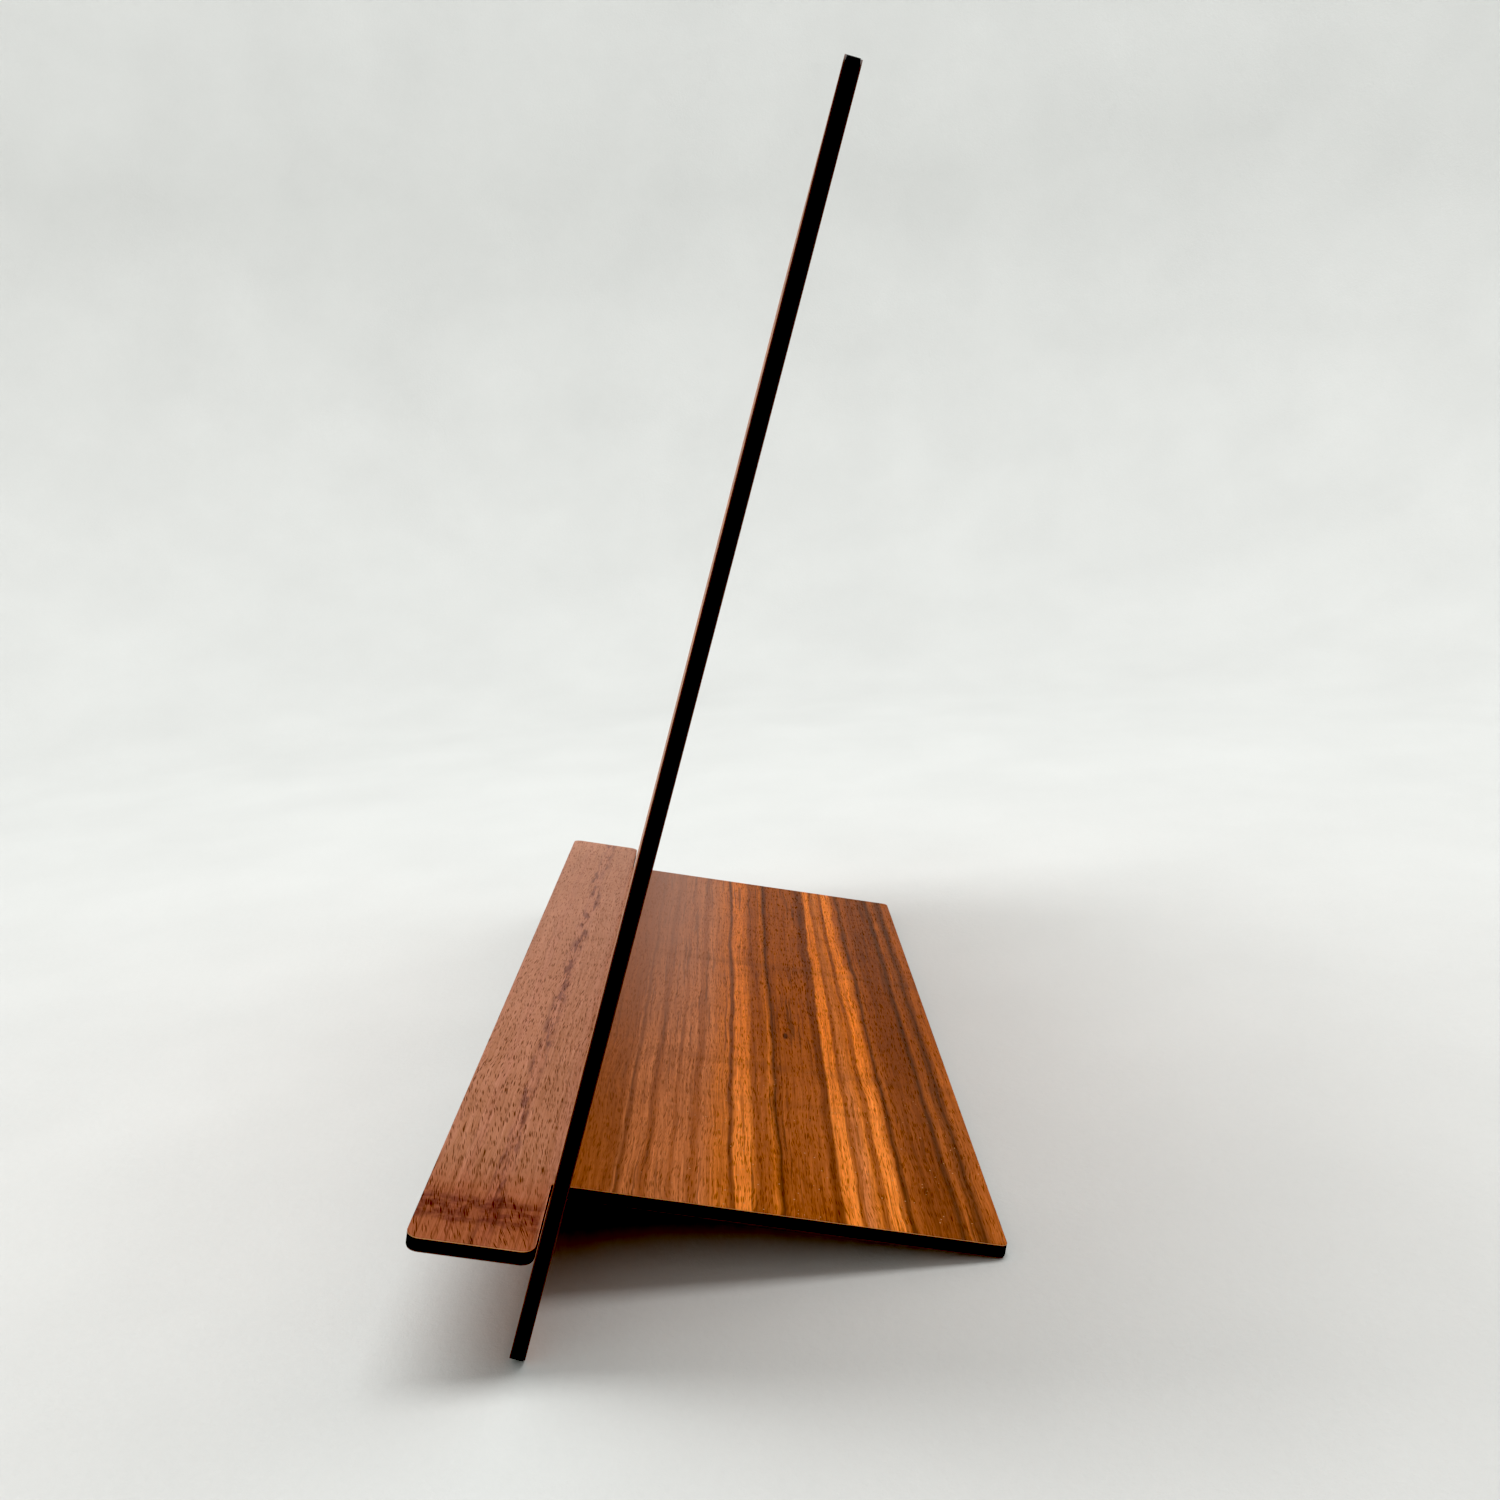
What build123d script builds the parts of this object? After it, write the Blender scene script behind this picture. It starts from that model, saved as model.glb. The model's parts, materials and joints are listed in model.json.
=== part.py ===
"""Knock-down stand for a photo album: two slotted boards of walnut-faced sheet.

The tall back panel leans back and stands on its lower rear edge. The base board is a T: its
head is the ledge that the album stands on, and its tongue goes through a slot in the panel and
slopes down to the floor behind. Each board is a core with a walnut veneer glued to both faces.

X runs from side to side, Y from the front to the rear and Z up. The origin is on the floor,
in the middle of the box around the stand.
"""
from build123d import *
from build123d.topology import SkipClean
from math import cos, radians, sin, tan
import os

# Driving dimensions, in millimetres and degrees
WIDTH = 300.0           # back panel and ledge, from side to side
PANEL_HEIGHT = 252.0    # measured up the leaning panel
BOARD = 3.2             # thickness of both boards, the nominal eighth of an inch
VENEER = 0.4            # one walnut veneer
RECLINE = 18.5          # back panel, from the vertical
SLOPE = 12.5            # base board, from the horizontal, down to the rear
SEAT_HEIGHT = 22.0      # underside of the base, up the middle of the panel's thickness
LEDGE_DEPTH = 25.6      # front of the ledge to its shoulders
TONGUE_WIDTH = 246.0
CORNER = 2.8            # rounded corners of the back panel and the ledge
TONGUE_CORNER = 1.6     # rounded rear corners of the tongue
SLIDE_GAP = 0.05        # play above and below the tongue, and at its shoulders
SIDE_GAP = 0.15         # play at each side of the tongue in the slot

# The base isn't square to the panel: it is tipped by the play that the slot leaves it
recline = radians(RECLINE)
slope = radians(SLOPE)
tip = recline - slope
core = BOARD - 2 * VENEER

# The slot is cut square through the panel, so it is taller than the tipped tongue is thick
slot_width = TONGUE_WIDTH + 2 * SIDE_GAP
slot_height = BOARD / cos(tip) + BOARD * tan(tip) + 2 * SLIDE_GAP
slot_middle = SEAT_HEIGHT + BOARD / (2 * cos(tip))
slot_top = slot_middle + slot_height / 2

# Places on the base board, measured rearwards from the middle of the panel's thickness
shoulder = -BOARD / (2 * cos(tip)) - SLIDE_GAP
ledge_front = shoulder - LEDGE_DEPTH
crossing_z = SEAT_HEIGHT * cos(recline) + BOARD / 2 * sin(recline)
tongue_end = crossing_z / sin(slope)

# Depth of the whole stand, measured rearwards from the edge that the panel stands on
crossing_y = SEAT_HEIGHT * sin(recline) - BOARD / 2 * cos(recline)
front_y = crossing_y + ledge_front * cos(slope)
rear_y = crossing_y + tongue_end * cos(slope) + BOARD * sin(slope)
foot_y = -(front_y + rear_y) / 2

# The panel's rear face: Y of the plane runs up the panel, and layers are built up to the front
panel_rear = Plane(
    origin=(0, foot_y, 0),
    x_dir=(1, 0, 0),
    z_dir=(0, -cos(recline), sin(recline)),
)
# The base's underside: Y of the plane runs rearwards, and layers are built upwards
base_under = Plane(
    origin=(0, foot_y + crossing_y, crossing_z),
    x_dir=(1, 0, 0),
    z_dir=(0, sin(slope), cos(slope)),
)

# The panel's outline is drawn in two, below and above the top of the slot
with BuildSketch() as panel_foot:
    Rectangle(WIDTH, slot_top, align=(Align.CENTER, Align.MIN))
    fillet(panel_foot.vertices().group_by(Axis.Y)[0], radius=CORNER)
    with Locations((0, slot_middle)):
        Rectangle(slot_width, slot_height, mode=Mode.SUBTRACT)

with BuildSketch() as panel_rest:
    with Locations((0, slot_top)):
        Rectangle(WIDTH, PANEL_HEIGHT - slot_top, align=(Align.CENTER, Align.MIN))
    fillet(panel_rest.vertices().group_by(Axis.Y)[-1], radius=CORNER)

# The base's outline is drawn in two: the ledge in front of the panel, and the tongue
with BuildSketch() as ledge:
    with Locations((0, ledge_front)):
        Rectangle(WIDTH, LEDGE_DEPTH, align=(Align.CENTER, Align.MIN))
    fillet(ledge.vertices(), radius=CORNER)

with BuildSketch() as tongue:
    with Locations((0, shoulder)):
        Rectangle(TONGUE_WIDTH, tongue_end - shoulder, align=(Align.CENTER, Align.MIN))
    fillet(tongue.vertices().group_by(Axis.Y)[-1], radius=TONGUE_CORNER)

# name of the layer, the plane and the two outlines of its board, its lower face and its thickness
LAYERS = (
    ("back_rear_veneer", panel_rear, panel_foot, panel_rest, 0, VENEER),
    ("back_core", panel_rear, panel_foot, panel_rest, VENEER, core),
    ("back_front_veneer", panel_rear, panel_foot, panel_rest, VENEER + core, VENEER),
    ("base_bottom_veneer", base_under, ledge, tongue, 0, VENEER),
    ("base_core", base_under, ledge, tongue, VENEER, core),
    ("base_top_veneer", base_under, ledge, tongue, VENEER + core, VENEER),
)

os.makedirs("parts", exist_ok=True)

# The seam between the two outlines is kept, so that the face that the album leans on and the
# face that it stands on are each a face of their own
for name, board_plane, first_outline, second_outline, height, thickness in LAYERS:
    with BuildPart() as layer:
        with BuildSketch(board_plane.offset(height)):
            add(first_outline.sketch)
        extrude(amount=thickness)
        with BuildSketch(board_plane.offset(height)):
            add(second_outline.sketch)
        with SkipClean():
            extrude(amount=thickness)
    layer.part.label = name
    export_step(layer.part, f"parts/{name}.step")
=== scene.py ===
"""Looks of a knock-down photo album stand, cut by laser from walnut-faced sheet.

Two slotted boards: a tall back panel that leans back, and a T-shaped base board whose head is the
ledge that the album stands on. Each board is a core with a walnut veneer on both faces, and every
layer is cut along one outline, so that its edge is scorched and finely ribbed by the beam.
"""
import json
import math

import bmesh
import bpy
from bpy.props import FloatProperty, FloatVectorProperty, IntProperty, PointerProperty
from mathutils import Matrix, Vector


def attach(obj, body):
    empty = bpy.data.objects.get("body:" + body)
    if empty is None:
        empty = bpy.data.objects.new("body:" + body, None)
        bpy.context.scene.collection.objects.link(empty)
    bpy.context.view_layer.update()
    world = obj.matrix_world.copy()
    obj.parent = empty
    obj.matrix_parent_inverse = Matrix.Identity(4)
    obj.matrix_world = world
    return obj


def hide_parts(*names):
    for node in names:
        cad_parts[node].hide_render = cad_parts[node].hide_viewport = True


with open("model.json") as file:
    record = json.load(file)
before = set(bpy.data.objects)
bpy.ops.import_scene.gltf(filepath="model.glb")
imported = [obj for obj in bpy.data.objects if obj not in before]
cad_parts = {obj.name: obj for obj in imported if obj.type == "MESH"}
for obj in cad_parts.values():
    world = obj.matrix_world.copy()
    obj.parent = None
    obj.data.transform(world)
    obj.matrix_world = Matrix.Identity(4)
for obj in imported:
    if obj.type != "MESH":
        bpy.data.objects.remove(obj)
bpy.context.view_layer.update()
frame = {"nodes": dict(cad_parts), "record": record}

bl_info = {
    "name": "Album Stand",
    "version": (1, 0, 0),
    "blender": (4, 5, 0),
    "location": "View3D > Sidebar > Album Stand",
    "description": "Walnut and scorched edges for a slotted two-board album stand",
    "category": "Object",
}

MM = 0.001


# ---------------------------------------------------------------- the two boards, read from the frame

class Board:
    """A flat board with axes of its own: X from side to side, Y along the board, Z out of its seen face."""

    def __init__(self, mount_name, layers):
        mount = next(m for m in frame["record"]["mounts"] if m["name"] == mount_name)
        self.layers = layers
        self.side = Vector((1, 0, 0))
        self.out = Vector(mount["axis"]).normalized()
        self.along = self.out.cross(self.side)
        face = Vector(mount["pos_m"])
        self.origin = face - face.dot(self.along) * self.along
        self.tilt = math.atan2(self.along.z, self.along.y)
        points = [p for layer in layers for p in self.points(layer)]
        self.low = Vector((min(p[i] for p in points) for i in range(3)))
        self.high = Vector((max(p[i] for p in points) for i in range(3)))

    def points(self, node):
        """A node's corners in the board's own axes, Z counted from the seen face."""
        found = []
        for vertex in frame["nodes"][node].data.vertices:
            p = vertex.co
            found.append(Vector((p.x, p.dot(self.along), (p - self.origin).dot(self.out))))
        return found

    def matrix(self):
        """From the board's own axes to the frame's."""
        turn = Matrix((self.side, self.along, self.out)).transposed().to_4x4()
        return Matrix.Translation(self.out * self.origin.dot(self.out)) @ turn

    def heights(self, node):
        """A layer's lower and upper face, counted from the board's seen face."""
        levels = [p.z for p in self.points(node)]
        return min(levels), max(levels)


PANEL = Board("panel_front", ("back_core", "back_front_veneer", "back_rear_veneer"))
BASE = Board("ledge_top", ("base_core", "base_top_veneer", "base_bottom_veneer"))

# The slot in the panel: every corner of the core well inside its sides belongs to it
INSIDE = 5 * MM
slot_points = [p for p in PANEL.points("back_core") if abs(p.x) < PANEL.high.x - INSIDE]
SLOT_LOW = Vector((min(p.x for p in slot_points), min(p.y for p in slot_points)))
SLOT_HIGH = Vector((max(p.x for p in slot_points), max(p.y for p in slot_points)))

# The tongue is the rear half of the base, and the shoulders are where the ledge is wider than it
base_points = BASE.points("base_core")
base_middle = (BASE.low.y + BASE.high.y) / 2
TONGUE_HALF = max(p.x for p in base_points if p.y > base_middle)
SHOULDER = max(p.y for p in base_points if p.x > TONGUE_HALF + INSIDE)


# ---------------------------------------------------------------- sizes and colours a user would change

def length(name, description, default):
    return FloatProperty(name=name, description=description, default=default, unit="LENGTH", precision=6)


def colour(name, description, default):
    return FloatVectorProperty(
        name=name, description=description, default=default, subtype="COLOR", size=3, min=0, max=1
    )


class AlbumStandCutSettings(bpy.types.PropertyGroup):
    """How the laser leaves an edge."""

    corner: length("Corner", "Rounded corners of the panel and the ledge", 2.8 * MM)
    tongue_corner: length("Tongue corner", "Rounded rear corners of the tongue", 1.6 * MM)
    pitch: length("Rib pitch", "Spacing of the fine ribs that the beam leaves", 0.3 * MM)
    depth: length("Rib depth", "Depth of the ribs", 0.03 * MM)
    arris: length("Arris", "Sanded edge of a veneer's outer face", 0.15 * MM)
    burn: length("Burn back", "How far the core is burnt back behind the veneers", 0.04 * MM)
    seed: IntProperty(name="Seed", description="Order of the ribs", default=3)


class AlbumStandColours(bpy.types.PropertyGroup):
    """Tones of the walnut and of the scorched edge, some of them carrying painted reflection and painted
    glints.
    """

    pale: colour("Pale stripe", "Brightest stripes of the walnut", (0.84, 0.245, 0.042))
    orange: colour("Orange", "Warm bands of the walnut", (0.60, 0.170, 0.027))
    tan: colour("Tan", "Lighter ground of the walnut", (0.58, 0.186, 0.056))
    rust: colour("Rust", "Middle tone of the walnut", (0.37, 0.100, 0.020))
    brown: colour("Brown", "Dark bands of the walnut", (0.225, 0.058, 0.012))
    line: colour("Dark line", "Thin late-wood lines", (0.100, 0.029, 0.009))
    # The ledge's two tones are made pinker by a painted reflection of the pale backdrop
    rose_and_sheen: colour("Rose", "Pinkish ground of the ledge", (0.360, 0.160, 0.089))
    mauve_and_sheen: colour("Mauve", "Darker streaks of the ledge", (0.365, 0.158, 0.094))
    # This tone is a random pink cloud on the panels, and on the base board a painted reflection of the pale
    # backdrop
    pink_tint_and_sheen: colour("Haze", "Greyer, rosier wood at the far front of the tongue", (0.43, 0.235, 0.170))
    pore: colour("Pore", "Open pores, filled with finish", (0.055, 0.014, 0.005))
    # This tone also paints the highlights of a few pores on the tongue
    bare_and_glint: colour("Bare edge", "Veneer showing at a sanded arris", (0.55, 0.30, 0.14))
    char: colour("Char", "Burnt edge of the core", (0.0030, 0.0026, 0.0024))


class AlbumStandStage(bpy.types.PropertyGroup):
    """Camera, lights and sweep."""

    eye: FloatVectorProperty(
        name="Camera", description="Where the camera stands", default=(0.39912, 0.012942, 0.17224),
        subtype="TRANSLATION", size=3, precision=5,
    )
    turn: FloatProperty(
        name="Turn", description="Camera turned left of the line through the stand",
        default=math.radians(0.067), subtype="ANGLE",
    )
    tilt: FloatProperty(
        name="Tilt", description="Camera looking down", default=math.radians(11.269), subtype="ANGLE"
    )
    roll: FloatProperty(
        name="Roll", description="Camera rolled about its own line of sight",
        default=math.radians(-3.773), subtype="ANGLE",
    )
    lens: FloatProperty(name="Lens", description="Focal length for a 36 mm sensor", default=33.372)
    felt: colour("Felt", "Pale cloth that the stand is on", (0.620, 0.627, 0.612))


# ---------------------------------------------------------------- shader maths

class Value:
    """A number socket of a shader. Expressions on it add Math nodes."""

    def __init__(self, paint, socket):
        self.paint, self.socket = paint, socket

    def _math(self, operation, *terms):
        return self.paint.math(operation, *terms)

    def __add__(self, other): return self._math("ADD", self, other)
    def __radd__(self, other): return self._math("ADD", other, self)
    def __sub__(self, other): return self._math("SUBTRACT", self, other)
    def __rsub__(self, other): return self._math("SUBTRACT", other, self)
    def __mul__(self, other): return self._math("MULTIPLY", self, other)
    def __rmul__(self, other): return self._math("MULTIPLY", other, self)
    def __truediv__(self, other): return self._math("DIVIDE", self, other)
    def __pow__(self, other): return self._math("POWER", self, other)
    def __abs__(self): return self._math("ABSOLUTE", self)

    def most(self, other):
        return self._math("MAXIMUM", self, other)

    def over(self, start, end):
        """0 before start and 1 after end, easing between them. Start may be the larger."""
        if start > end:
            return 1 - self.over(end, start)
        settings = {"interpolation_type": "SMOOTHSTEP"}
        return self.paint.node(
            "ShaderNodeMapRange", settings, Value=self, **{"From Min": start, "From Max": end}
        )


class Paint:
    """A procedural material, painted in a board's own axes, in millimetres."""

    def __init__(self, name, board=None):
        self.material = bpy.data.materials.new(name)
        self.material.use_nodes = True
        self.tree = self.material.node_tree
        self.tree.nodes.clear()
        self.board = board

    def node(self, kind, settings=None, out=0, **sockets):
        """Adds a node: its settings first, then its sockets. Gives one output, or several by name."""
        node = self.tree.nodes.new(kind)
        for key, value in (settings or {}).items():
            if key == "stops":
                self._stops(node.color_ramp, value)
            else:
                setattr(node, key, value)
        for key, value in sockets.items():
            self.feed(self._input(node, key), value)
        if out is None:
            return None
        if isinstance(out, tuple):
            return [self._output(node, key) for key in out]
        return self._output(node, out)

    @staticmethod
    def _stops(ramp, stops):
        while len(ramp.elements) > 1:
            ramp.elements.remove(ramp.elements[-1])
        for index, (place, tone) in enumerate(stops):
            element = ramp.elements[0] if index == 0 else ramp.elements.new(place)
            element.position = place
            element.color = (*tone, 1.0)

    @staticmethod
    def _input(node, key):
        if isinstance(key, str) and key.startswith("in_"):
            return node.inputs[int(key[3:])]
        return next(s for s in node.inputs if s.name == key and s.enabled)

    def _output(self, node, key):
        named = isinstance(key, str)
        result = next(s for s in node.outputs if s.name == key and s.enabled) if named else node.outputs[key]
        return Value(self, result) if result.type == "VALUE" else result

    def feed(self, socket, value):
        value = value.socket if isinstance(value, Value) else value
        if isinstance(value, bpy.types.NodeSocket):
            self.tree.links.new(value, socket)
        elif socket.type == "RGBA" and len(value) == 3:
            socket.default_value = (*value, 1.0)
        else:
            socket.default_value = value

    def math(self, operation, *terms):
        return self.node(
            "ShaderNodeMath", {"operation": operation},
            **{f"in_{index}": term for index, term in enumerate(terms)},
        )

    def vector(self, x, y, z=0.0):
        return self.node("ShaderNodeCombineXYZ", X=x, Y=y, Z=z)

    def mix(self, share, first, second, blend="MIX"):
        settings = {"data_type": "RGBA", "blend_type": blend, "clamp_factor": True}
        return self.node("ShaderNodeMix", settings, out="Result", Factor=share, A=first, B=second)

    def places(self):
        """X, Y and Z in the board's own axes, in millimetres, Z counted from its seen face."""
        where = self.node("ShaderNodeTexCoord", out="Object")
        if self.board is None:
            moved = self.node("ShaderNodeMapping", Vector=where, Scale=(1 / MM,) * 3)
        else:
            drop = -self.board.origin.dot(self.board.out) / MM
            moved = self.node(
                "ShaderNodeMapping", Vector=where, Scale=(1 / MM,) * 3,
                Rotation=(-self.board.tilt, 0, 0), Location=(0, 0, drop),
            )
        return self.node("ShaderNodeSeparateXYZ", out=("X", "Y", "Z"), Vector=moved)

    def noise(self, x, y, z=0.0, detail=2.0, roughness=0.5):
        return self.node(
            "ShaderNodeTexNoise", {"noise_dimensions": "3D"}, out=0,
            Vector=self.vector(x, y, z), Scale=1.0, Detail=detail, Roughness=roughness,
        )

    def cells(self, x, y, z=0.0):
        """Distance to the nearest scattered point, and a random number for its cell."""
        distance, tint = self.node(
            "ShaderNodeTexVoronoi", {"voronoi_dimensions": "3D"}, out=("Distance", "Color"),
            Vector=self.vector(x, y, z), Scale=1.0,
        )
        return distance, self.node("ShaderNodeSeparateColor", Color=tint)

    def finish(self, colour_socket, roughness, height=None, depth=0.0, **fixed):
        """The shader itself. Depth is the relief of the height, in millimetres."""
        sockets = {"Base Color": colour_socket, "Roughness": roughness, **fixed}
        if height is not None:
            sockets["Normal"] = self.node(
                "ShaderNodeBump", Height=height, Strength=1.0, Distance=depth * MM
            )
        shader = self.node("ShaderNodeBsdfPrincipled", **sockets)
        self.node("ShaderNodeOutputMaterial", out=None, Surface=shader)
        return self.material


# ---------------------------------------------------------------- walnut

# Stripes of the base board's top veneer, in millimetres behind its shoulders. The ledge is before 0.
# The ledge's tones carry a painted reflection of the pale backdrop
LEDGE_STRIPES = (
    (-26.0, "mauve_and_sheen"), (-24.0, "rose_and_sheen"), (-20.0, "rose_and_sheen"), (-18.0, "mauve_and_sheen"), (-16.5, "rose_and_sheen"), (-13.0, "rose_and_sheen"),
    (-11.6, "mauve_and_sheen"), (-10.0, "mauve_and_sheen"), (-8.6, "rose_and_sheen"), (-3.0, "rose_and_sheen"), (0.0, "mauve_and_sheen"),
)
FRONT_STRIPES = (
    (4.0, "rust"), (12.4, "rust"), (13.1, "tan"), (13.6, "brown"), (13.9, "brown"), (14.8, "tan"),
    (17.8, "tan"), (18.8, "rust"), (20.0, "rust"), (21.2, "tan"), (24.2, "tan"), (25.2, "rust"),
    (26.0, "tan"), (28.4, "tan"), (29.6, "rust"), (30.6, "rust"), (31.6, "tan"), (35.6, "orange"),
    (38.0, "orange"), (38.6, "brown"), (39.2, "brown"), (39.8, "pale"), (43.2, "pale"), (44.2, "orange"),
    (45.0, "rust"), (48.0, "rust"),
)
REAR_STRIPES = (
    (48.0, "rust"), (49.4, "orange"), (50.9, "line"), (51.3, "brown"), (52.6, "rust"), (57.5, "rust"),
    (58.6, "rust"), (61.8, "rust"), (62.8, "brown"), (64.5, "brown"), (65.2, "pale"), (68.0, "pale"),
    (68.7, "rust"), (69.2, "rust"), (70.0, "tan"), (72.8, "orange"), (73.4, "rust"), (74.4, "rust"),
    (75.0, "pale"), (77.4, "pale"), (78.8, "rust"), (79.2, "brown"), (79.5, "line"), (80.8, "rust"),
    (83.6, "brown"), (89.4, "brown"), (90.4, "line"), (90.9, "line"), (92.4, "rust"), (95.6, "line"),
    (97.6, "rust"),
)


def stripe_ramp(paint, place, stripes, tones):
    """The stripes' tones across the board, from listed stops in millimetres."""
    start, end = stripes[0][0], stripes[-1][0]
    stops = [((at - start) / (end - start), getattr(tones, tone)) for at, tone in stripes]
    share = (place - start) / (end - start)
    return paint.node("ShaderNodeValToRGB", {"stops": stops}, Fac=share)


def walnut(name, board, tones, placed, seed):
    """Lacquered walnut veneer, its grain from side to side. Placed stripes are the base board's own."""
    paint = Paint(name, board)
    x, y, z = paint.places()
    y = y - SHOULDER / MM if placed else y

    # The grain wanders gently across the board, more in some bands than in others
    wander = (paint.noise(x * 0.0085, y * 0.018, seed, 2.0) - 0.5) * (2.8 if placed else 7.0)
    ripple = (paint.noise(x * 0.040, y * 0.09, seed + 7.0, 2.0) - 0.5) * 1.7
    tremble = (paint.noise(x * 0.13, y * 0.45, seed + 9.0, 2.0) - 0.5) * 0.55
    grain = y + wander + ripple + tremble
    if placed:
        # The pair of bright stripes draws together towards the far end
        draw = x.over(50.0, -90.0)
        grain = grain + draw * (abs(y - 75.4).over(5.0, 0.0) * 1.3 - abs(y - 66.0).over(5.0, 0.0) * 1.6)

    if placed:
        ledge = stripe_ramp(paint, grain, LEDGE_STRIPES, tones)
        front = stripe_ramp(paint, grain, FRONT_STRIPES, tones)
        rear = stripe_ramp(paint, grain, REAR_STRIPES, tones)
        tongue = paint.mix(grain.over(47.9, 48.1), front, rear)
        ground = paint.mix(y.over(1.0, 2.5), ledge, tongue)
    else:
        rings = paint.noise(x * 0.0012, grain * 0.105, seed + 3.0, 5.0, 0.66)
        broad = paint.noise(x * 0.0020, grain * 0.020, seed + 4.0, 2.0)
        stops = (
            (0.36, tones.line), (0.41, tones.brown), (0.48, tones.rust), (0.56, tones.tan),
            (0.63, tones.orange), (0.72, tones.pale),
        )
        ground = paint.node("ShaderNodeValToRGB", {"stops": stops}, Fac=rings * 0.70 + broad * 0.30)
        cloud = paint.noise(x * 0.009, y * 0.014, seed + 5.0, 2.0)
        ground = paint.mix(0.22 + (cloud - 0.5) * 0.9, ground, tones.pink_tint_and_sheen)

    # Fibres: long soft streaks, then finer and finer ones. Darker wood is also redder.
    # Neighbouring fibres start at different places along the grain.
    run = x + (paint.noise(grain * 0.12, seed, 6.0, 1.0) - 0.5) * 150.0
    streak = paint.noise(run * 0.012, grain * 0.75, seed + 11.0, 3.0, 0.6)
    fibre = paint.noise(run * 0.055, grain * 2.2, seed + 13.0, 4.0, 0.75)
    thread = paint.noise(run * 0.14, grain * 5.0, seed + 15.0, 2.0, 0.6)
    figure = paint.noise(x * 0.09 + y * 0.04, y * 0.022, seed + 17.0, 3.0, 0.6)
    depth = 0.40 if placed else 0.22
    calm = 1 - y.over(1.0, -1.0) * 0.45 if placed else 1.0
    shade = (streak - 0.5) * 1.2 + (fibre - 0.5) * 1.9 + (thread - 0.5) * 0.9
    shade = 1 + shade * calm + (figure - 0.5) * depth
    shade = shade.most(0.25)
    ground = paint.mix(1.0, ground, paint.vector(shade, shade ** 1.2, shade ** 1.6), "MULTIPLY")

    # Late wood drawn out in thin, broken dark lines
    drawn = paint.noise(run * 0.022, grain * 1.15, seed + 21.0, 2.0, 0.55)
    patchy = paint.noise(x * 0.012, y * 0.05, seed + 22.0, 1.0).over(0.36, 0.62)
    if placed:
        patchy = patchy.most(x.over(70.0, 20.0) * y.over(40.0, 28.0) * y.over(4.0, 8.0))
    ground = paint.mix(drawn.over(0.56, 0.65) * patchy * calm * 0.68, ground, tones.line)

    # Open pores: dark dashes along the grain, crowded in some bands, with hair lines between them
    lean = (paint.noise(x * 0.02, y * 0.03, seed + 19.0, 1.0) - 0.5) * 7.0
    slant = grain + lean
    if placed:
        slant = slant - ((x - 50.0).most(0.0) ** 2) * 0.0013 * y.over(2.0, -2.0)
    far, pick = paint.cells(x / 5.0, slant / 0.34, seed)
    crowd = paint.noise(x * 0.03, y * 0.14, seed + 23.0, 2.0)
    if placed:
        crowd = crowd + (x.over(112.0, 130.0) * y.over(0.0, -1.0)).most(y.over(34.0, 14.0)) * 0.15
    pores = far.over(0.38, 0.20) * (pick + crowd - 0.5).over(0.18, 0.46)
    fine_far, fine_pick = paint.cells(x / 2.8, slant / 0.21, seed + 31.0)
    hairs = fine_far.over(0.42, 0.2) * fine_pick.over(0.40, 0.70) * 0.65
    dark = pores.most(hairs)
    ground = paint.mix(dark * (0.86 - y.over(-2.0, 3.0) * 0.18 if placed else 0.75), ground, tones.pore)
    if placed:
        ground = own_marks(paint, ground, x, y, tones, seed)

    sheen = 0.40 + dark * 0.25 + (fibre - 0.5) * 0.12
    height = 1 - dark * 0.8 + fibre * 0.25
    return paint.finish(ground, sheen, height, depth=0.03, **{"Specular IOR Level": 0.11})


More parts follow.
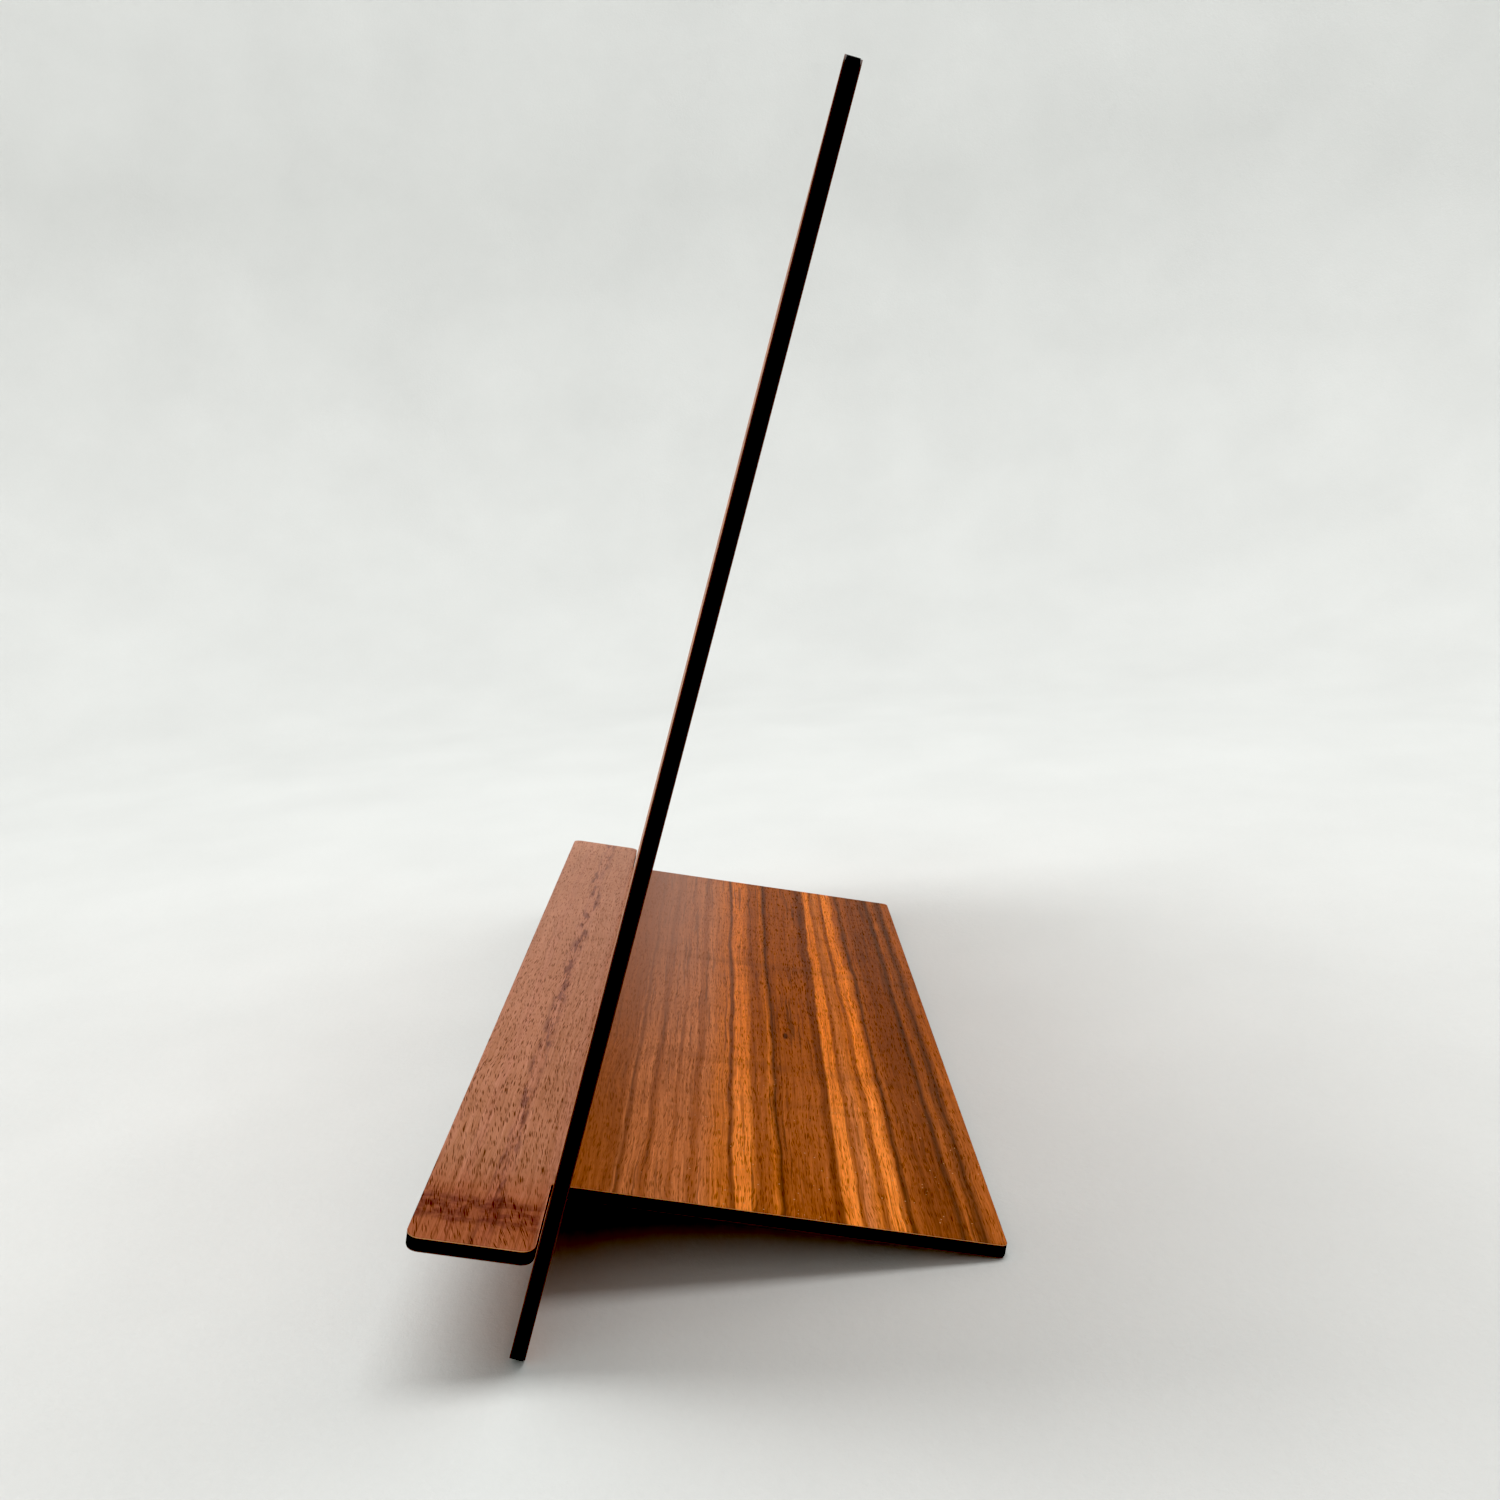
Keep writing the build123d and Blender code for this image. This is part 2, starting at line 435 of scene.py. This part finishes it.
def own_marks(paint, ground, x, y, tones, seed):
    """What makes this veneer its own: a pin knot and dark mineral streaks, with painted light beside them: a
    paler, pinker corner, a darker far end and a few glints.
    """
    # Painted shade: the far end is darker and less grey behind. Painted reflection of the pale backdrop:
    # greyer and rosier wood at the front of the tongue, more so towards the far end, and on the ledge
    painted_shade_behind = x.over(85.0, 10.0) * y.over(30.0, 42.0)
    ground = paint.mix(painted_shade_behind, ground, paint.vector(0.84, 0.73, 0.40), "MULTIPLY")
    # Painted reflection: a pinkish grey tone mixed into the colour, growing towards the far end and also on
    # the ledge
    painted_reflection = (0.20 + x.over(120.0, -90.0) * 0.62) * y.over(54.0, 12.0) * y.over(1.0, 2.5)
    painted_reflection = painted_reflection.most(x.over(120.0, -90.0) * y.over(0.0, -1.0) * 0.34)
    ground = paint.mix(painted_reflection, ground, tones.pink_tint_and_sheen)

    knot_x, knot_y = 23.3, 54.7
    reach = ((x - knot_x) / 2.2) ** 2 + ((y - knot_y) / 0.75) ** 2
    ground = paint.mix(reach.over(1.6, 0.3) * 0.9, ground, tones.pore)

    # Faint dark bands across the grain of the tongue
    blur = (paint.noise(x * 0.22, y * 0.16, seed + 41.0, 3.0) - 0.5) * 9.0
    for band_x, band_half, share in ((-33.0, 5.0, 0.22), (46.0, 4.0, 0.20), (68.0, 3.5, 0.14)):
        band = abs(x + blur * 0.6 - band_x).over(band_half, 0.5) * y.over(6.0, 40.0)
        ground = paint.mix(band * share, ground, tones.line)

    # The ledge turns russet towards its right end, where a dark cloud crosses it
    on_ledge = y.over(0.0, -1.0)
    russet = (x + blur).over(112.0, 138.0) * on_ledge
    ground = paint.mix(russet, ground, paint.vector(0.84, 0.62, 0.52), "MULTIPLY")
    cloud_x, cloud_half = 137.5, 8.0
    wisps = paint.noise(x * 0.40, y * 0.26, seed + 42.0, 3.0, 0.6).over(0.38, 0.58)
    cloud = abs(x + blur - cloud_x).over(cloud_half, 3.0) * on_ledge * (0.35 + wisps * 0.65)
    ground = paint.mix(cloud, ground, paint.vector(0.47, 0.41, 0.54), "MULTIPLY")

    # A purple-grey streak along the ledge
    trail_y, trail_half = -11.0, 3.0
    drift = (paint.noise(x * 0.035, 3.0, seed + 43.0, 2.0) - 0.5) * 7.0
    patchy = paint.noise(x * 0.09, y * 0.50, seed + 47.0, 3.0, 0.6).over(0.46, 0.60)
    trail = abs(y + drift - trail_y).over(trail_half, 0.5) * patchy
    ground = paint.mix(trail, ground, paint.vector(0.52, 0.50, 0.58), "MULTIPLY")

    # Painted highlights: a few pores caught by the light, painted as pale specks
    far, pick = paint.cells(x / 1.5, y / 1.0, seed + 51.0)
    painted_glints = far.over(0.22, 0.10) * pick.over(0.86, 0.90) * x.over(20.0, 100.0) * y.over(10.0, 30.0)
    return paint.mix(painted_glints * 0.8, ground, tones.bare_and_glint)


# ---------------------------------------------------------------- scorched edges

def char_edge(name, board, tones):
    """The core's burnt edge: near black, ribbed through the thickness, with faint brown where it is thin."""
    paint = Paint(name, board)
    x, y, z = paint.places()
    ribs = paint.noise(x * 2.4, y * 2.4, z * 0.25, 2.0, 0.6)
    smoke = paint.noise(x * 0.08, y * 0.08, z * 0.5, 3.0)
    brown = tuple(channel * gain for channel, gain in zip(tones.char, (5.0, 3.4, 2.6)))
    shade = ribs.over(0.45, 0.8) * smoke.over(0.35, 0.7)
    tone = paint.mix(shade * 0.6, tones.char, brown)
    return paint.finish(tone, 0.72 + ribs * 0.2, ribs, depth=0.03, **{"Specular IOR Level": 0.12})


def veneer_edge(name, board, tones, outer, inner, sanded):
    """A veneer's cut edge: pale wood at a sanded arris, burnt darker towards the core."""
    paint = Paint(name, board)
    x, y, z = paint.places()
    ribs = paint.noise(x * 2.4, y * 2.4, z * 0.25, 2.0, 0.6)
    patch = paint.noise(x * 0.12, y * 0.12, 5.0, 2.0)
    depth = (z - outer) / (inner - outer) + (ribs - 0.5) * 0.35 + (patch - 0.5) * 0.3
    arris, middle = (tones.bare_and_glint, tones.rust) if sanded else (tones.line, tones.char)
    stops = ((0.26, arris), (0.40, middle), (0.55, tones.line), (0.75, tones.char))
    tone = paint.node("ShaderNodeValToRGB", {"stops": stops}, Fac=depth)
    return paint.finish(tone, 0.55 + ribs * 0.2, ribs, depth=0.02)


# ---------------------------------------------------------------- geometry of a cut layer

WELD = 0.0005 * MM        # points closer than this become one
LIES_FLAT = 0.9           # a face whose normal is at least this upright is no part of the edge


class CutTree:
    """A node group that turns a flat outline into one layer of sheet, cut by a laser."""

    def __init__(self, name, inputs):
        self.group = bpy.data.node_groups.new(name, "GeometryNodeTree")
        face = self.group.interface
        face.new_socket("Geometry", in_out="INPUT", socket_type="NodeSocketGeometry")
        face.new_socket("Geometry", in_out="OUTPUT", socket_type="NodeSocketGeometry")
        for label, kind, default in inputs:
            socket = face.new_socket(label, in_out="INPUT", socket_type=kind)
            if default is not None:
                socket.default_value = default
        self.start = self.group.nodes.new("NodeGroupInput")
        self.end = self.group.nodes.new("NodeGroupOutput")

    def given(self, label):
        return self.start.outputs[label]

    def node(self, kind, settings=None, **sockets):
        """Adds a node: its settings first, then the values or links of its sockets."""
        node = self.group.nodes.new(kind)
        for key, value in (settings or {}).items():
            setattr(node, key, value)
        for key, value in sockets.items():
            slot = node.inputs[int(key[3:])] if key.startswith("in_") else next(
                s for s in node.inputs if s.name == key and s.enabled
            )
            if isinstance(value, bpy.types.NodeSocket):
                self.group.links.new(value, slot)
            else:
                slot.default_value = value
        return node

    def math(self, operation, first, second):
        return self.node("ShaderNodeMath", {"operation": operation}, in_0=first, in_1=second).outputs[0]

    def scaled(self, vector, factor):
        settings = {"operation": "SCALE"}
        return self.node("ShaderNodeVectorMath", settings, Vector=vector, Scale=factor).outputs["Vector"]


def cut_layer_tree():
    """Outline to layer: ribs along the cut, then rows of wall with a sanded arris at either face."""
    tree = CutTree("Laser Cut Layer", (
        ("Thickness", "NodeSocketFloat", MM),
        ("Rib Pitch", "NodeSocketFloat", 0.3 * MM),
        ("Rib Depth", "NodeSocketFloat", 0.03 * MM),
        ("Lower Arris", "NodeSocketFloat", 0.0),
        ("Upper Arris", "NodeSocketFloat", 0.0),
        ("Burn Back", "NodeSocketFloat", 0.0),
        ("Seed", "NodeSocketInt", 3),
        ("Face", "NodeSocketMaterial", None),
        ("Edge", "NodeSocketMaterial", None),
    ))
    curve = tree.node("GeometryNodeMeshToCurve", Mesh=tree.given("Geometry")).outputs["Curve"]
    curve = tree.node(
        "GeometryNodeResampleCurve", {"mode": "LENGTH"}, Curve=curve, Length=tree.given("Rib Pitch")
    ).outputs["Curve"]

    # Outwards is to the right of the way that the outline runs, and away from the wood in the slot
    tangent = tree.node("GeometryNodeInputTangent").outputs["Tangent"]
    cross = tree.node("ShaderNodeVectorMath", {"operation": "CROSS_PRODUCT"}, in_0=tangent, in_1=(0, 0, 1))
    curve = tree.node(
        "GeometryNodeStoreNamedAttribute", {"data_type": "FLOAT_VECTOR", "domain": "POINT"},
        Geometry=curve, Name="outwards", Value=cross.outputs["Vector"],
    ).outputs["Geometry"]
    outwards = tree.node(
        "GeometryNodeInputNamedAttribute", {"data_type": "FLOAT_VECTOR"}, Name="outwards"
    ).outputs["Attribute"]

    chance = tree.node(
        "FunctionNodeRandomValue", {"data_type": "FLOAT"}, Min=0.0, Max=1.0, Seed=tree.given("Seed")
    ).outputs[1]
    cut_in = tree.math("MULTIPLY", tree.math("MULTIPLY", chance, tree.given("Rib Depth")), -1.0)
    first_in = tree.math("MULTIPLY", tree.given("Lower Arris"), -1.0)
    start = tree.scaled(outwards, tree.math("ADD", cut_in, first_in))
    curve = tree.node("GeometryNodeSetPosition", Geometry=curve, Offset=start).outputs["Geometry"]
    flat = tree.node("GeometryNodeFillCurve", {"mode": "NGONS"}, Curve=curve).outputs["Mesh"]
    under = tree.node("GeometryNodeFlipFaces", Mesh=flat).outputs["Mesh"]

    # Rows of the wall, upwards: how far each rises, and how far it steps out from the one below
    rise_middle = tree.math("SUBTRACT", tree.given("Thickness"), tree.given("Lower Arris"))
    rise_middle = tree.math("SUBTRACT", rise_middle, tree.given("Upper Arris"))
    half_rise = tree.math("MULTIPLY", rise_middle, 0.5)
    burnt = tree.math("MULTIPLY", tree.given("Burn Back"), -1.0)
    last_in = tree.math("MULTIPLY", tree.given("Upper Arris"), -1.0)
    rows = (
        (tree.given("Lower Arris"), tree.given("Lower Arris")),
        (half_rise, burnt),
        (half_rise, tree.given("Burn Back")),
        (tree.given("Upper Arris"), last_in),
    )
    body, top = flat, None
    for rise, step in rows:
        sockets = {"Mesh": body, "Offset": (0, 0, 1), "Offset Scale": rise, "Individual": False}
        if top is not None:
            sockets["Selection"] = top
        grown = tree.node("GeometryNodeExtrudeMesh", {"mode": "FACES"}, **sockets)
        top = grown.outputs["Top"]
        body = tree.node(
            "GeometryNodeSetPosition", Geometry=grown.outputs["Mesh"], Selection=top,
            Offset=tree.scaled(outwards, step),
        ).outputs["Geometry"]

    joined = tree.node("GeometryNodeJoinGeometry")
    for piece in (under, body):
        tree.group.links.new(piece, joined.inputs[0])
    whole = tree.node(
        "GeometryNodeMergeByDistance", Geometry=joined.outputs[0], Distance=WELD
    ).outputs["Geometry"]
    whole = tree.node("GeometryNodeRealizeInstances", Geometry=whole).outputs["Geometry"]
    whole = tree.node(
        "GeometryNodeSetMaterial", Geometry=whole, Material=tree.given("Face")
    ).outputs["Geometry"]

    # The edge is every face that doesn't lie flat
    normal = tree.node("GeometryNodeInputNormal").outputs[0]
    apart = tree.node("ShaderNodeSeparateXYZ", Vector=normal)
    level = tree.math("ABSOLUTE", apart.outputs["Z"], 0.0)
    wall = tree.node(
        "FunctionNodeCompare", {"data_type": "FLOAT", "operation": "LESS_THAN"}, in_0=level, in_1=LIES_FLAT
    ).outputs[0]
    whole = tree.node(
        "GeometryNodeSetMaterial", Geometry=whole, Selection=wall, Material=tree.given("Edge")
    ).outputs["Geometry"]
    tree.group.links.new(whole, tree.end.inputs[0])
    return tree.group


ARC_STEPS = 24           # straight pieces in a quarter turn


def rounded(corners):
    """A closed outline: each corner is its place and the radius of its arc, 0 for a sharp one."""
    points = []
    for index, (corner, radius) in enumerate(corners):
        before = (corners[index - 1][0] - corner).normalized()
        after = (corners[(index + 1) % len(corners)][0] - corner).normalized()
        if radius == 0:
            points.append(corner)
            continue
        centre = corner + (before + after) * radius
        for step in range(ARC_STEPS + 1):
            angle = math.pi / 2 * step / ARC_STEPS
            points.append(centre - after * radius * math.cos(angle) - before * radius * math.sin(angle))
    return points


def panel_outline(cut):
    low, high, corner = PANEL.low, PANEL.high, cut.corner
    edge = rounded([
        (Vector((low.x, low.y)), corner), (Vector((high.x, low.y)), corner),
        (Vector((high.x, high.y)), corner), (Vector((low.x, high.y)), corner),
    ])
    slot = [
        Vector((SLOT_LOW.x, SLOT_LOW.y)), Vector((SLOT_LOW.x, SLOT_HIGH.y)),
        Vector((SLOT_HIGH.x, SLOT_HIGH.y)), Vector((SLOT_HIGH.x, SLOT_LOW.y)),
    ]
    return [edge, slot]


def base_outline(cut):
    low, high = BASE.low, BASE.high
    return [rounded([
        (Vector((low.x, low.y)), cut.corner), (Vector((high.x, low.y)), cut.corner),
        (Vector((high.x, SHOULDER)), cut.corner), (Vector((TONGUE_HALF, SHOULDER)), 0),
        (Vector((TONGUE_HALF, high.y)), cut.tongue_corner),
        (Vector((-TONGUE_HALF, high.y)), cut.tongue_corner),
        (Vector((-TONGUE_HALF, SHOULDER)), 0), (Vector((low.x, SHOULDER)), cut.corner),
    ])]


def cut_layer(node, body, board, outline, cut, face, edge, arris_below, arris_above, burn):
    """One layer of a board, in place of its CAD node."""
    bottom, top = board.heights(node)
    mesh = bpy.data.meshes.new(node + "_outline")
    points, links = [], []
    for loop in outline:
        first = len(points)
        points += [(p.x, p.y, 0.0) for p in loop]
        links += [(first + i, first + (i + 1) % len(loop)) for i in range(len(loop))]
    mesh.from_pydata(points, links, [])
    draft = bpy.data.objects.new(node + "_draft", mesh)
    bpy.context.scene.collection.objects.link(draft)

    group = bpy.data.node_groups.get("Laser Cut Layer") or cut_layer_tree()
    modifier = draft.modifiers.new("Laser cut", "NODES")
    modifier.node_group = group
    values = {
        "Thickness": top - bottom, "Rib Pitch": cut.pitch, "Rib Depth": cut.depth,
        "Lower Arris": arris_below, "Upper Arris": arris_above, "Burn Back": burn,
        "Seed": cut.seed, "Face": face, "Edge": edge,
    }
    for socket in group.interface.items_tree:
        if socket.item_type == "SOCKET" and socket.name in values:
            modifier[socket.identifier] = values[socket.name]
    draft.data.update()

    graph = bpy.context.evaluated_depsgraph_get()
    made = bpy.data.meshes.new_from_object(draft.evaluated_get(graph))
    draft.modifiers.remove(modifier)
    bpy.data.objects.remove(draft)
    if not made.polygons:
        raise RuntimeError(f"the cut of {node} came out empty")
    made.name = node + "_cut"
    if "outwards" in made.attributes:
        made.attributes.remove(made.attributes["outwards"])
    made.transform(board.matrix() @ Matrix.Translation((0, 0, bottom)))
    piece = bpy.data.objects.new(node + "_cut", made)
    bpy.context.scene.collection.objects.link(piece)
    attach(piece, body)
    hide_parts(node)
    return piece


# ---------------------------------------------------------------- operators

class ALBUMSTAND_OT_back_panel(bpy.types.Operator):
    """Make the three layers of the leaning back panel"""

    bl_idname = "albumstand.back_panel"
    bl_label = "Back Panel"

    def execute(self, context):
        cut, tones = context.scene.album_stand_cut, context.scene.album_stand_colours
        outline = panel_outline(cut)
        char = char_edge("panel_char", PANEL, tones)
        cut_layer("back_core", "back_panel", PANEL, outline, cut, char, char, 0.0, 0.0, cut.burn)
        bottom, top = PANEL.heights("back_front_veneer")
        cut_layer(
            "back_front_veneer", "back_panel", PANEL, outline, cut,
            walnut("panel_front_walnut", PANEL, tones, placed=False, seed=5.0),
            veneer_edge("panel_front_edge", PANEL, tones, top / MM, bottom / MM, False), 0.0, cut.arris, 0.0,
        )
        bottom, top = PANEL.heights("back_rear_veneer")
        cut_layer(
            "back_rear_veneer", "back_panel", PANEL, outline, cut,
            walnut("panel_rear_walnut", PANEL, tones, placed=False, seed=61.0),
            veneer_edge("panel_rear_edge", PANEL, tones, bottom / MM, top / MM, False), cut.arris, 0.0, 0.0,
        )
        return {"FINISHED"}


class ALBUMSTAND_OT_base_board(bpy.types.Operator):
    """Make the three layers of the base board, its ledge in front and its tongue behind"""

    bl_idname = "albumstand.base_board"
    bl_label = "Base Board"

    def execute(self, context):
        cut, tones = context.scene.album_stand_cut, context.scene.album_stand_colours
        outline = base_outline(cut)
        char = char_edge("base_char", BASE, tones)
        cut_layer("base_core", "base_board", BASE, outline, cut, char, char, 0.0, 0.0, cut.burn)
        bottom, top = BASE.heights("base_top_veneer")
        cut_layer(
            "base_top_veneer", "base_board", BASE, outline, cut,
            walnut("base_top_walnut", BASE, tones, placed=True, seed=2.0),
            veneer_edge("base_top_edge", BASE, tones, top / MM, bottom / MM, True), 0.0, cut.arris, 0.0,
        )
        bottom, top = BASE.heights("base_bottom_veneer")
        cut_layer(
            "base_bottom_veneer", "base_board", BASE, outline, cut,
            walnut("base_bottom_walnut", BASE, tones, placed=False, seed=83.0),
            veneer_edge("base_bottom_edge", BASE, tones, bottom / MM, top / MM, False), cut.arris, 0.0, 0.0,
        )
        return {"FINISHED"}


def felt(tones):
    """Pale felt: almost white, with a faint cloudy nap."""
    paint = Paint("felt")
    x, y, z = paint.places()
    cloud = paint.noise(x * 0.012, y * 0.012, z * 0.012, 3.0)
    nap = paint.noise(x * 0.5, y * 0.5, z * 0.5, 4.0, 0.7)
    shade = 0.955 + (cloud - 0.5) * 0.12 + (nap - 0.5) * 0.04
    tone = paint.mix(1.0, tones.felt, paint.vector(shade, shade, shade), "MULTIPLY")
    return paint.finish(tone, 0.95, nap, depth=0.15, **{"Specular IOR Level": 0.1})


def sweep(material):
    """One sheet of felt: a flat floor that curves up on every side into a round backdrop."""
    flat, curve, height, around, steps = 0.62, 0.45, 1.1, 96, 24
    line = [(0.0, 0.0), (0.3, 0.0), (flat, 0.0)]
    for step in range(1, steps + 1):
        angle = math.pi / 2 * step / steps
        line.append((flat + curve * math.sin(angle), curve * (1 - math.cos(angle))))
    line.append((flat + curve, height))
    cloth = bmesh.new()
    rows = []
    for radius, z in line:
        turns = around if radius else 1
        angles = [2 * math.pi * turn / turns for turn in range(turns)]
        rows.append([cloth.verts.new((radius * math.cos(a), radius * math.sin(a), z)) for a in angles])
    for inner, outer in zip(rows, rows[1:]):
        for i in range(around):
            j = (i + 1) % around
            corners = [outer[i], outer[j], inner[j % len(inner)], inner[i % len(inner)]]
            face = cloth.faces.new(corners[:3] if len(inner) == 1 else corners)
            face.smooth = True
    mesh = bpy.data.meshes.new("sweep")
    cloth.to_mesh(mesh)
    cloth.free()
    mesh.materials.append(material)
    floor = bpy.data.objects.new("sweep", mesh)
    bpy.context.scene.collection.objects.link(floor)


def softbox(name, place, aim, size, power):
    lamp = bpy.data.lights.new(name, "AREA")
    lamp.shape = "RECTANGLE"
    lamp.size, lamp.size_y = size
    lamp.energy = power
    light = bpy.data.objects.new(name, lamp)
    light.location = place
    light.rotation_euler = (Vector(aim) - Vector(place)).to_track_quat("-Z", "Y").to_euler()
    bpy.context.scene.collection.objects.link(light)


class ALBUMSTAND_OT_stage(bpy.types.Operator):
    """Set the pale sweep, the soft lights and the camera"""

    bl_idname = "albumstand.stage"
    bl_label = "Stage"

    def execute(self, context):
        settings = context.scene.album_stand_stage
        sweep(felt(settings))
        softbox(
            "overhead", place=(-0.20, 0.02, 1.45), aim=(-0.08, 0.02, 0.0), size=(2.2, 0.5), power=27.5
        )

        world = bpy.data.worlds.new("studio")
        world.use_nodes = True
        glow = world.node_tree.nodes["Background"]
        glow.inputs["Color"].default_value = (0.95, 0.98, 1.0, 1.0)
        glow.inputs["Strength"].default_value = 0.34
        context.scene.world = world

        lens = bpy.data.cameras.new("camera")
        lens.sensor_width = 36.0
        lens.lens = settings.lens
        lens.clip_start = 0.01
        camera = bpy.data.objects.new("camera", lens)
        context.scene.collection.objects.link(camera)
        camera.matrix_world = camera_matrix(settings)
        context.scene.camera = camera
        expose(context.scene.view_settings)
        return {"FINISHED"}


def expose(view):
    """A plain print with firm blacks."""
    black = 0.034
    view.view_transform = "Standard"
    view.use_curve_mapping = True
    view.curve_mapping.black_level = (black, black, black)
    view.curve_mapping.update()


def camera_matrix(settings):
    """Looks along -X at the stand's right end, then turned, tilted down and rolled."""
    facing = Matrix(((0, 0, 1), (1, 0, 0), (0, 1, 0))).to_4x4()
    turn = Matrix.Rotation(settings.turn, 4, "Z")
    tilt = Matrix.Rotation(-settings.tilt, 4, "X")
    roll = Matrix.Rotation(settings.roll, 4, "Z")
    return Matrix.Translation(settings.eye) @ turn @ facing @ tilt @ roll


class ALBUMSTAND_PT_panel(bpy.types.Panel):
    """Lists the stand's pieces and settings"""

    bl_label = "Album Stand"
    bl_idname = "ALBUMSTAND_PT_panel"
    bl_space_type = "VIEW_3D"
    bl_region_type = "UI"
    bl_category = "Album Stand"

    def draw(self, context):
        scene = context.scene
        for operator in OPERATORS:
            self.layout.operator(operator.bl_idname)
        for group in (scene.album_stand_cut, scene.album_stand_colours, scene.album_stand_stage):
            box = self.layout.box()
            for key in group.bl_rna.properties.keys():
                if key not in ("rna_type", "name"):
                    box.prop(group, key)


SETTINGS = {
    "album_stand_cut": AlbumStandCutSettings,
    "album_stand_colours": AlbumStandColours,
    "album_stand_stage": AlbumStandStage,
}
OPERATORS = (ALBUMSTAND_OT_stage, ALBUMSTAND_OT_back_panel, ALBUMSTAND_OT_base_board)


def register():
    for group in (*SETTINGS.values(), *OPERATORS, ALBUMSTAND_PT_panel):
        bpy.utils.register_class(group)
    for name, group in SETTINGS.items():
        setattr(bpy.types.Scene, name, PointerProperty(type=group))


def unregister():
    for name in SETTINGS:
        delattr(bpy.types.Scene, name)
    for group in reversed((*SETTINGS.values(), *OPERATORS, ALBUMSTAND_PT_panel)):
        bpy.utils.unregister_class(group)


def main():
    """Makes everything in order."""
    register()
    bpy.ops.albumstand.stage()
    bpy.ops.albumstand.back_panel()
    bpy.ops.albumstand.base_board()


if __name__ == "__main__":
    main()
